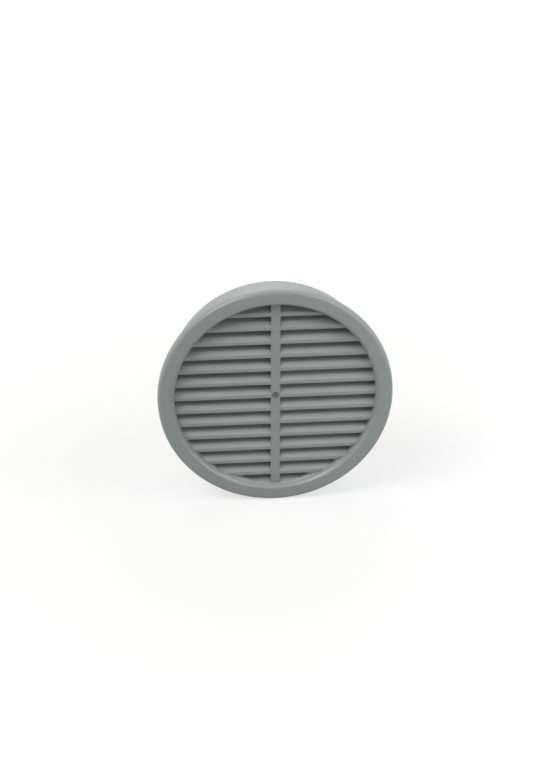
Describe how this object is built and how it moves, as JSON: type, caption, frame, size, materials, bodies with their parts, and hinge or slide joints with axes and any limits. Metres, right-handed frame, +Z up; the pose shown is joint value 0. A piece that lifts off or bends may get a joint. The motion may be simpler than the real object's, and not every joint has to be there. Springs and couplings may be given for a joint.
{
  "type": "vent pipe grille",
  "caption": "Round louvred grille that plugs into the end of a vent pipe: flat rim, short spigot, sloping slats and a central upright bar, moulded in grey plastic as a whole.",
  "frame": {"origin": "on the pipe's axis, in the plane where the back of the rim seats on the pipe's end", "axes": "+Y along the axis into the pipe, +Z up with the louvres falling towards the front, louvred face looking to -Y"},
  "size_m": [0.116, 0.027, 0.116],
  "materials": {
    "grey_plastic": "satin injection-moulded"
  },
  "bodies": {
    "root": {"vent_grille": "grey_plastic"}
  },
  "joints": []
}
